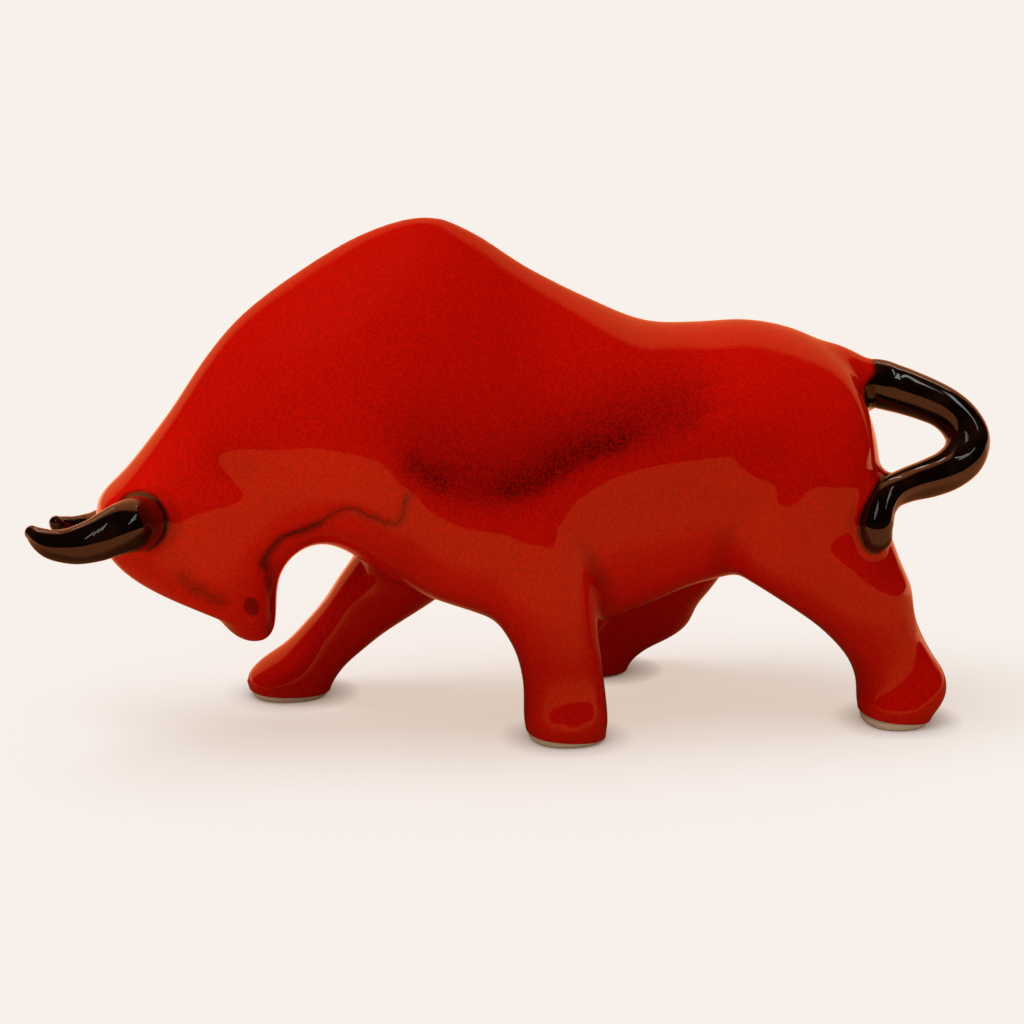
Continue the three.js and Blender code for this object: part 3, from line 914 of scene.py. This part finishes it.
def make_red_glaze():
    material, tree = new_material("gloss_red_glaze")
    place_on_piece = add_node(tree, "ShaderNodeTexCoord").outputs["Object"]
    flecks = add_node(tree, "ShaderNodeTexNoise", {
        "Vector": place_on_piece, "Scale": FLECKS_A_METRE, "Detail": 1, "Roughness": 0.5,
    })
    clouds = add_node(tree, "ShaderNodeTexNoise", {
        "Vector": place_on_piece, "Scale": CLOUDS_A_METRE, "Detail": 4, "Roughness": 0.6,
    })
    fleck_tone = add_node(tree, "ShaderNodeMapRange", {
        "Value": flecks.outputs["Fac"],
        "From Min": FLECK_NOISE[0], "From Max": FLECK_NOISE[1],
        "To Min": FLECK_TONE[0], "To Max": FLECK_TONE[1],
    })
    # painted light: the base red turns brighter where light is painted in
    painted_light = add_node(tree, "ShaderNodeAttribute", attribute_name="painted_light")
    painted_light_mix = add_node(tree, "ShaderNodeMix", {
        "Factor": painted_light.outputs["Fac"], "A": linear(RED), "B": linear(PAINTED_LIGHT_RED),
    }, data_type="RGBA")
    # painted shade: the red darkens with the depth of each hollow, where thick glaze also pools
    hollow_value = add_node(tree, "ShaderNodeAttribute", attribute_name="hollow")
    deep = add_node(tree, "ShaderNodeMapRange", {
        "Value": hollow_value.outputs["Fac"],
        "From Min": HOLLOW_DEPTHS[0], "From Max": HOLLOW_DEPTHS[1], "To Max": HOLLOW_DARKEST,
    })
    in_hollow_shade = add_node(tree, "ShaderNodeMix", {
        "Factor": deep.outputs["Result"], "A": painted_light_mix.outputs["Result"], "B": linear(HOLLOW_SHADE_RED),
    }, data_type="RGBA")
    # painted shade: the red darkens along the stored shade lines, mottled by the flecks
    painted = add_node(tree, "ShaderNodeAttribute", attribute_name="pool_shade")
    mottle = add_node(tree, "ShaderNodeMapRange", {
        "Value": flecks.outputs["Fac"],
        "From Min": POOL_NOISE[0], "From Max": POOL_NOISE[1],
        "To Min": POOL_MOTTLE[0], "To Max": POOL_MOTTLE[1],
    })
    pool_shade_mottled = add_node(tree, "ShaderNodeMath", {
        0: painted.outputs["Fac"], 1: mottle.outputs["Result"],
    }, operation="MULTIPLY", use_clamp=True)
    in_pool_shade = add_node(tree, "ShaderNodeMix", {
        "Factor": pool_shade_mottled.outputs["Value"], "A": in_hollow_shade.outputs["Result"], "B": linear(POOL_SHADE_RED),
    }, data_type="RGBA")
    # painted shade: a narrow brown line drawn along the jaw fold, wandering a little
    jaw = add_node(tree, "ShaderNodeAttribute", attribute_name="jaw_line")
    wander = add_node(tree, "ShaderNodeMath", {
        0: clouds.outputs["Fac"], 1: CREASE_WANDER, 2: jaw.outputs["Fac"],
    }, operation="MULTIPLY_ADD")
    off_line = add_node(tree, "ShaderNodeMath", {
        0: wander.outputs["Value"], 1: CREASE_WANDER / 2,
    }, operation="SUBTRACT")
    off_crease = add_node(tree, "ShaderNodeMath", {0: off_line.outputs["Value"]}, operation="ABSOLUTE")
    crease = add_node(tree, "ShaderNodeMapRange", {
        "Value": off_crease.outputs["Value"], "From Min": CREASE_WIDTHS[0], "From Max": CREASE_WIDTHS[1],
    }, interpolation_type="SMOOTHSTEP")
    crease_here = add_node(tree, "ShaderNodeMath", {
        0: crease.outputs["Result"], 1: painted.outputs["Fac"],
    }, operation="MULTIPLY")
    in_crease_shade = add_node(tree, "ShaderNodeMix", {
        "Factor": crease_here.outputs["Value"], "A": in_pool_shade.outputs["Result"], "B": linear(CREASE_SHADE_BROWN),
    }, data_type="RGBA")
    # painted shade: the inside of the nostril's oval is darkened
    rim = add_node(tree, "ShaderNodeAttribute", attribute_name="nostril_rim")
    nostril = add_node(tree, "ShaderNodeMapRange", {
        "Value": rim.outputs["Fac"],
        "From Min": NOSTRIL_EDGE[0], "From Max": NOSTRIL_EDGE[1], "To Max": NOSTRIL_DARKEST,
    }, interpolation_type="SMOOTHSTEP")
    in_nostril_shade = add_node(tree, "ShaderNodeMix", {
        "Factor": nostril.outputs["Result"], "A": in_crease_shade.outputs["Result"], "B": linear(NOSTRIL_SHADE_RED),
    }, data_type="RGBA")
    black_reach = add_node(tree, "ShaderNodeAttribute", attribute_name="black")
    black_edge = add_node(tree, "ShaderNodeMath", {
        0: clouds.outputs["Fac"], 1: BLACK_WANDER, 2: black_reach.outputs["Fac"],
    }, operation="MULTIPLY_ADD")
    black_here = add_node(tree, "ShaderNodeMapRange", {
        "Value": black_edge.outputs["Value"], "From Min": BLACK_EDGE[0], "From Max": BLACK_EDGE[1],
    })
    flecked = add_node(tree, "ShaderNodeMix", {
        "Factor": 1.0, "A": in_nostril_shade.outputs["Result"], "B": fleck_tone.outputs["Result"],
    }, data_type="RGBA", blend_type="MULTIPLY")
    colour = add_node(tree, "ShaderNodeMix", {
        "Factor": black_here.outputs["Result"], "A": flecked.outputs["Result"], "B": linear(BLACK_OVER_RED),
    }, data_type="RGBA")
    glaze = add_node(tree, "ShaderNodeBsdfPrincipled", {
        "Base Color": colour.outputs["Result"],
        "Roughness": GLAZE_ROUGHNESS,
        "IOR": GLAZE_IOR,
        "Specular Tint": linear(MIRROR_TINT),
    })
    add_node(tree, "ShaderNodeOutputMaterial", {"Surface": glaze.outputs["BSDF"]})
    return material


# %% [markdown]
# The black glaze
#
# An iron glaze looks black where it is thick and turns to brown where it thins, in drifts about a centimetre
# wide. It is as glossy as the red, and the iron makes it mirror a little more than plain glass does.

# %% Black glaze
IRON_BLACK = "#0D0503"
IRON_BROWN = "#2C1308"
IRON_GLAZE_IOR = 1.7
DRIFTS_A_METRE = 90
DRIFT_NOISE = (0.45, 0.8)


def make_black_glaze():
    material, tree = new_material("gloss_black_brown_glaze")
    place_on_piece = add_node(tree, "ShaderNodeTexCoord").outputs["Object"]
    drift = add_node(tree, "ShaderNodeTexNoise", {
        "Vector": place_on_piece, "Scale": DRIFTS_A_METRE, "Detail": 4, "Roughness": 0.6,
    })
    tone = add_node(tree, "ShaderNodeMapRange", {
        "Value": drift.outputs["Fac"], "From Min": DRIFT_NOISE[0], "From Max": DRIFT_NOISE[1],
    })
    colour = add_node(tree, "ShaderNodeMix", {
        "Factor": tone.outputs["Result"], "A": linear(IRON_BLACK), "B": linear(IRON_BROWN),
    }, data_type="RGBA")
    glaze = add_node(tree, "ShaderNodeBsdfPrincipled", {
        "Base Color": colour.outputs["Result"], "Roughness": GLAZE_ROUGHNESS, "IOR": IRON_GLAZE_IOR,
    })
    add_node(tree, "ShaderNodeOutputMaterial", {"Surface": glaze.outputs["BSDF"]})
    return material


# %% [markdown]
# The bare clay
#
# Unglazed, the clay is buff and matt, with pits and grog about a millimetre wide that a finger can feel.

# %% Bare clay
CLAY_DARK = "#D9B184"
CLAY_LIGHT = "#F4DDB9"
CLAY_ROUGHNESS = 0.85
GROG_A_METRE = 900
PIT_STRENGTH = 0.6
PIT_DEPTH = 0.3 * MM


def make_bare_clay():
    material, tree = new_material("bare_buff_clay")
    place_on_piece = add_node(tree, "ShaderNodeTexCoord").outputs["Object"]
    grog = add_node(tree, "ShaderNodeTexNoise", {
        "Vector": place_on_piece, "Scale": GROG_A_METRE, "Detail": 4, "Roughness": 0.65,
    })
    colour = add_node(tree, "ShaderNodeMix", {
        "Factor": grog.outputs["Fac"], "A": linear(CLAY_DARK), "B": linear(CLAY_LIGHT),
    }, data_type="RGBA")
    pits = add_node(tree, "ShaderNodeBump", {
        "Height": grog.outputs["Fac"], "Strength": PIT_STRENGTH, "Distance": PIT_DEPTH,
    })
    clay = add_node(tree, "ShaderNodeBsdfPrincipled", {
        "Base Color": colour.outputs["Result"], "Roughness": CLAY_ROUGHNESS, "Normal": pits.outputs["Normal"],
    })
    add_node(tree, "ShaderNodeOutputMaterial", {"Surface": clay.outputs["BSDF"]})
    return material


# %% [markdown]
# Dressing the pieces
#
# Each piece gets its finish, rides on the one rigid body, and stands for the CAD node or nodes whose place
# it takes. The one skin of the body stands for torso, head and legs, which the real glaze covers as one too.

# %% Finishes and places
red_glaze = make_red_glaze()
black_glaze = make_black_glaze()
bare_clay = make_bare_clay()
for face in body.data.polygons:
    face.use_smooth = True
body.data.materials.append(red_glaze)
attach(body, "root")
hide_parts("torso", "head", *LEGS)
for horn, node in zip(horns, HORNS):
    horn.data.materials.append(black_glaze)
    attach(horn, "root")
    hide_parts(node)
tail.data.materials.append(black_glaze)
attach(tail, "root")
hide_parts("tail")
for sole, leg in zip(soles, LEGS):
    sole.data.materials.append(bare_clay)
    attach(sole, "root")
    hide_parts(leg + "_sole")

# %% [markdown]
# The floor
#
# The bull stands on a broad sweep of warm white paper, whose colour gives the background. Seen directly,
# the paper is mostly even, and the rest takes the soft shadow, with a brown contact shade close to the feet.
# To the bull it is another paper: a soft bounce from below, and in the gloss a warm colour that is dark in
# the bull's own shade and gleams far behind, which is what the photographed glaze mirrors.

# %% Floor
PAPER = "#F8F1EB"
PAPER_LIT_BY_SKY = (0.3, 0.38, 0.45)
FLOOR_SIZE = 24
PAPER_BOUNCE = 0.66
WARM_REFLECTION = "#F38E55"
CONTACT_REACH = 11 * MM
CONTACT_SAMPLES = 16
CONTACT_SHADE = "#5E3F2D"
SHADE_NARROWNESS = 0.3
SHADE_INSIDE = 60 * MM
SHADE_OUTSIDE = 125 * MM
SHADE_LEAST = 0.34
GLEAM = "#D9A48A"
GLEAM_FROM = 110 * MM
GLEAM_FULL = 200 * MM


def add_seen_paper(tree):
    """The paper as the camera sees it."""
    colour = linear(PAPER)
    shaded = [c * share for c, share in zip(colour, PAPER_LIT_BY_SKY)] + [1]
    even = [c * (1 - share) for c, share in zip(colour, PAPER_LIT_BY_SKY)] + [1]
    contact = add_node(tree, "ShaderNodeAmbientOcclusion", {
        "Distance": CONTACT_REACH,
    }, samples=CONTACT_SAMPLES)
    paper = add_node(tree, "ShaderNodeBsdfDiffuse", {"Color": shaded})
    backdrop_colour = add_node(tree, "ShaderNodeMix", {
        "Factor": contact.outputs["AO"], "A": linear(CONTACT_SHADE), "B": even,
    }, data_type="RGBA")
    backdrop = add_node(tree, "ShaderNodeEmission", {"Color": backdrop_colour.outputs["Result"]})
    return add_node(tree, "ShaderNodeAddShader", {0: paper.outputs["BSDF"], 1: backdrop.outputs["Emission"]})


def add_lighting_paper(tree, path):
    """The paper as it lights the bull from below and shows in its gloss."""
    bounce = [c * PAPER_BOUNCE for c in linear(PAPER)[:3]] + [1]
    where = add_node(tree, "ShaderNodeTexCoord").outputs["Object"]
    axes = add_node(tree, "ShaderNodeSeparateXYZ", {0: where})
    along = add_node(tree, "ShaderNodeMath", {0: axes.outputs["X"]}, operation="ABSOLUTE")
    across = add_node(tree, "ShaderNodeMath", {0: axes.outputs["Y"]}, operation="ABSOLUTE")
    narrowed = add_node(tree, "ShaderNodeMath", {
        0: along.outputs["Value"], 1: SHADE_NARROWNESS,
    }, operation="MULTIPLY")
    away = add_node(tree, "ShaderNodeMath", {
        0: narrowed.outputs["Value"], 1: across.outputs["Value"],
    }, operation="MAXIMUM")
    open_paper = add_node(tree, "ShaderNodeMapRange", {
        "Value": away.outputs["Value"],
        "From Min": SHADE_INSIDE, "From Max": SHADE_OUTSIDE, "To Min": SHADE_LEAST,
    }, interpolation_type="SMOOTHSTEP")
    mirrored = add_node(tree, "ShaderNodeMix", {
        "Factor": open_paper.outputs["Result"], "A": (0, 0, 0, 1), "B": linear(WARM_REFLECTION),
    }, data_type="RGBA")
    tint = add_node(tree, "ShaderNodeMix", {
        "Factor": path.outputs["Is Glossy Ray"], "A": bounce, "B": mirrored.outputs["Result"],
    }, data_type="RGBA")
    lit_paper = add_node(tree, "ShaderNodeBsdfDiffuse", {"Color": tint.outputs["Result"]})
    far_behind = add_node(tree, "ShaderNodeMapRange", {
        "Value": axes.outputs["Y"], "From Min": GLEAM_FROM, "From Max": GLEAM_FULL,
    })
    gleam_level = add_node(tree, "ShaderNodeMath", {
        0: far_behind.outputs["Result"], 1: path.outputs["Is Glossy Ray"],
    }, operation="MULTIPLY")
    gleam = add_node(tree, "ShaderNodeEmission", {
        "Color": linear(GLEAM), "Strength": gleam_level.outputs["Value"],
    })
    return add_node(tree, "ShaderNodeAddShader", {0: lit_paper.outputs["BSDF"], 1: gleam.outputs["Emission"]})


def add_seen_directly(tree, path):
    """1 where the camera looks at a thing, also through glass, and 0 where a thing only lights another."""
    return add_node(tree, "ShaderNodeMath", {
        0: path.outputs["Is Camera Ray"], 1: path.outputs["Is Transmission Ray"],
    }, operation="MAXIMUM")


def make_floor():
    bm = bmesh.new()
    bmesh.ops.create_grid(bm, x_segments=1, y_segments=1, size=FLOOR_SIZE / 2)
    floor = add_object("paper_floor", finished_mesh(bm, "paper_floor"))
    material, tree = new_material("warm_white_paper")
    path = add_node(tree, "ShaderNodeLightPath")
    surface = add_node(tree, "ShaderNodeMixShader", {
        "Fac": add_seen_directly(tree, path).outputs["Value"],
        1: add_lighting_paper(tree, path).outputs["Shader"],
        2: add_seen_paper(tree).outputs["Shader"],
    })
    add_node(tree, "ShaderNodeOutputMaterial", {"Surface": surface.outputs["Shader"]})
    floor.data.materials.append(material)


make_floor()
print("floor:", FLOOR_SIZE, "m wide")

# %% [markdown]
# The light
#
# An even sky and one large soft lamp overhead light the bull plainly, together about as bright as the colours
# are written. In the gloss the sky is a room instead: a dark ceiling, and one warm lit wall behind the bull,
# whose edges draw the long bands along its back and neck. Nine narrow lamps light only the horns and the
# tail, where they stand for the window that the photograph shows in the black glaze.

# %% Light
SKY_LEVEL = 0.38
CEILING_EDGE = math.radians(64)
CEILING_BLUR = (-0.05, 0.05)
WALL_HALF_WIDTH = 0.75
WALL_BLUR = (-0.05, 0.1)
SUN_LEVEL = 0.66
SUN_SPREAD = math.radians(50)
SUN_FROM = Vector((-0.38, 0.04, 1.15))


def make_sky():
    world = bpy.data.worlds.new("studio")
    bpy.context.scene.world = world
    world.use_nodes = True
    tree = world.node_tree
    tree.nodes.clear()
    direction = add_node(tree, "ShaderNodeTexCoord").outputs["Generated"]
    path = add_node(tree, "ShaderNodeLightPath")
    behind = Vector((-back.x, -back.y, 0)).normalized()
    sideways = behind.cross(Vector((0, 0, 1)))
    under_ceiling = behind * math.sin(CEILING_EDGE) - Vector((0, 0, math.cos(CEILING_EDGE)))
    ceiling = add_node(tree, "ShaderNodeVectorMath", {
        0: direction, 1: under_ceiling,
    }, operation="DOT_PRODUCT")
    below_ceiling = add_node(tree, "ShaderNodeMapRange", {
        "Value": ceiling.outputs["Value"], "From Min": CEILING_BLUR[0], "From Max": CEILING_BLUR[1],
    })
    depth = add_node(tree, "ShaderNodeVectorMath", {0: direction, 1: behind}, operation="DOT_PRODUCT")
    side = add_node(tree, "ShaderNodeVectorMath", {0: direction, 1: sideways}, operation="DOT_PRODUCT")
    side_size = add_node(tree, "ShaderNodeMath", {0: side.outputs["Value"]}, operation="ABSOLUTE")
    past_corner = add_node(tree, "ShaderNodeMath", {
        0: side_size.outputs["Value"], 1: -WALL_HALF_WIDTH, 2: depth.outputs["Value"],
    }, operation="MULTIPLY_ADD")
    on_wall = add_node(tree, "ShaderNodeMapRange", {
        "Value": past_corner.outputs["Value"], "From Min": WALL_BLUR[0], "From Max": WALL_BLUR[1],
    })
    room = add_node(tree, "ShaderNodeMath", {
        0: below_ceiling.outputs["Result"], 1: on_wall.outputs["Result"],
    }, operation="MULTIPLY")
    level = add_node(tree, "ShaderNodeMix", {
        "Factor": path.outputs["Is Glossy Ray"], "A": SKY_LEVEL, "B": room.outputs["Value"],
    }, data_type="FLOAT")
    tint = add_node(tree, "ShaderNodeMix", {
        "Factor": path.outputs["Is Glossy Ray"], "A": (1, 1, 1, 1), "B": linear(WARM_REFLECTION),
    }, data_type="RGBA")
    sky = add_node(tree, "ShaderNodeBackground", {
        "Color": tint.outputs["Result"], "Strength": level.outputs["Result"],
    })
    backdrop = add_node(tree, "ShaderNodeBackground", {"Color": linear(PAPER), "Strength": 1.0})
    surface = add_node(tree, "ShaderNodeMixShader", {
        "Fac": add_seen_directly(tree, path).outputs["Value"],
        1: sky.outputs["Background"],
        2: backdrop.outputs["Background"],
    })
    add_node(tree, "ShaderNodeOutputWorld", {"Surface": surface.outputs["Shader"]})


def make_sun():
    sun = bpy.data.lights.new("soft_lamp", "SUN")
    sun.angle = SUN_SPREAD
    sun.energy = SUN_LEVEL * math.pi
    lamp = bpy.data.objects.new("soft_lamp", sun)
    lamp.rotation_mode = "QUATERNION"
    lamp.rotation_quaternion = SUN_FROM.to_track_quat("Z", "Y")
    lamp.visible_glossy = False
    bpy.context.scene.collection.objects.link(lamp)


STRIP_DISTANCE = 1.2
STRIPS = [
    # elevation, azimuth round from the camera's side and tilt of the strip in degrees,
    # then its length and width in metres and its brightness
    (44, -14, 90, 0.5, 0.035, 3.2),
    (51, -6, 90, 0.5, 0.035, 3.2),
    (58, 2, 90, 0.5, 0.035, 3.2),
    (65, 10, 90, 0.5, 0.035, 3.2),
    (38, 80, 20, 0.5, 0.05, 2.4),
    (46, 92, 20, 0.5, 0.05, 2.4),
    (46, 150, 10, 0.4, 0.03, 4),
    (38, 134, 10, 0.4, 0.03, 4),
    (42, -144, 10, 0.4, 0.03, 3.2),
]


def make_strips(coils):
    """Lamps that put the window glints on the coils, and light nothing else."""
    glinting = bpy.data.collections.new("glinting_coils")
    for coil in coils:
        glinting.objects.link(coil)
    for elevation, azimuth, tilt, length, width, brightness in STRIPS:
        lamp_data = bpy.data.lights.new("strip", "AREA")
        lamp_data.shape = "RECTANGLE"
        lamp_data.size = length
        lamp_data.size_y = width
        lamp_data.energy = brightness * math.pi * length * width
        lamp = bpy.data.objects.new("strip", lamp_data)
        turn = CAMERA_AZIMUTH + math.radians(azimuth)
        rise = math.radians(elevation)
        level = math.cos(rise)
        towards = Vector((math.sin(turn) * level, -math.cos(turn) * level, math.sin(rise)))
        lamp.location = target + towards * STRIP_DISTANCE
        lamp.rotation_mode = "QUATERNION"
        turned = Quaternion((0, 0, 1), math.radians(tilt))
        lamp.rotation_quaternion = towards.to_track_quat("Z", "Y") @ turned
        lamp.visible_diffuse = False
        lamp.visible_camera = False
        lamp.light_linking.receiver_collection = glinting
        bpy.context.scene.collection.objects.link(lamp)


make_sky()
make_sun()
make_strips([*horns, tail])
bpy.context.scene.view_settings.view_transform = "Standard"
print("lamps:", 1 + len(STRIPS))
